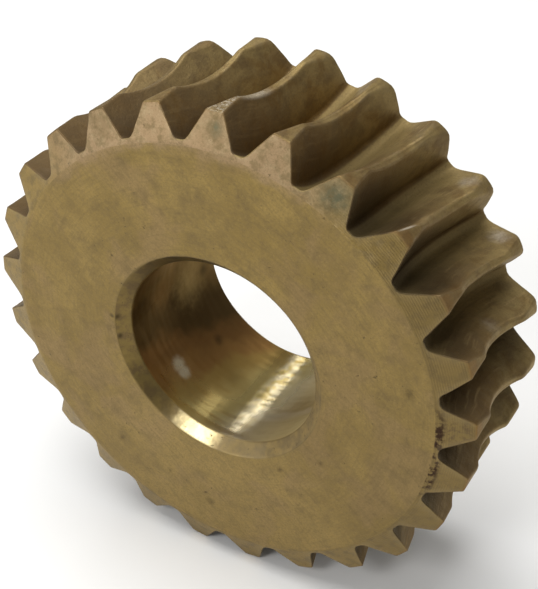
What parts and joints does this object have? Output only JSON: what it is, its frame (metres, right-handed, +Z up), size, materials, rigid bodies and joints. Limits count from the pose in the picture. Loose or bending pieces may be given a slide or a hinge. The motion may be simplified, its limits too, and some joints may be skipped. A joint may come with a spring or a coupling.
{
  "type": "worm wheel",
  "caption": "One-piece bronze worm wheel with a throated, hobbed rim of right-hand teeth, flat faces and a plain chamfered bore; meshes with a right-hand worm.",
  "frame": {"origin": "on the axis of the bore, halfway between the two faces, which is also the centre of the bounding box", "axes": "Y runs along the bore, with -Y out of the front face; Z is up, with the wheel standing on its rim; X runs across the front face to the right"},
  "size_m": [0.1151, 0.038, 0.1152],
  "materials": {
    "bronze": "machined bronze, dull and handled: fine turning marks on the faces, brown cut flanks, a brighter bore"
  },
  "bodies": {
    "root": {"worm_wheel": "bronze"}
  },
  "joints": []
}
